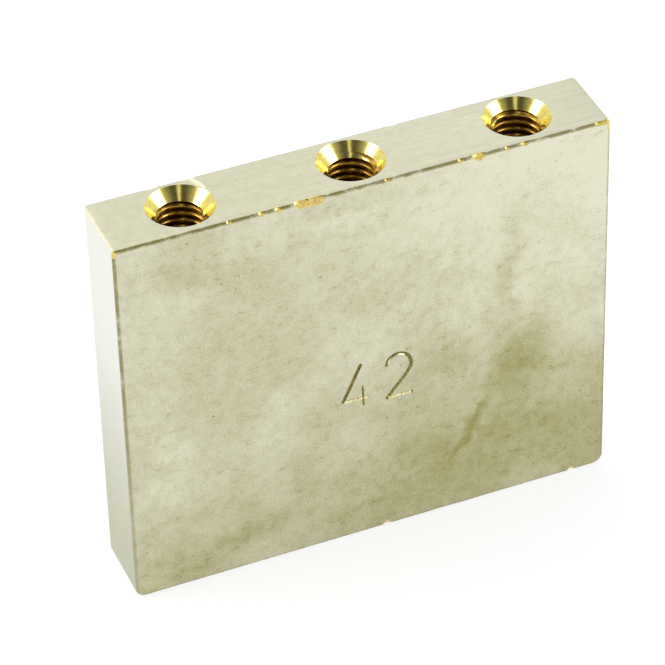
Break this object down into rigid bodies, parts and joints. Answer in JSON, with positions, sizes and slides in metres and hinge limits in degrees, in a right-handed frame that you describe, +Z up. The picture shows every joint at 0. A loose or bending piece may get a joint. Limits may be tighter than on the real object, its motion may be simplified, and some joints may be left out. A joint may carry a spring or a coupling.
{
  "type": "machined mounting block",
  "caption": "Flat rectangular plated brass block with countersunk tapped holes along its top edge, for screwing under a plate as a mass and spring anchor.",
  "frame": {"origin": "middle of the foot, on the surface that the block stands on", "axes": "+Z up towards the face with the tapped holes, +X along the width, +Y through the thickness towards the back; the front with the size number is at -Y"},
  "size_m": [0.05, 0.008, 0.042],
  "materials": {
    "nickel_plated_brass": "satin nickel plate over brass, stained and lightly scratched, with bare brass in the holes and at worn edges"
  },
  "bodies": {
    "root": {"mounting_block": "nickel_plated_brass"}
  },
  "joints": []
}
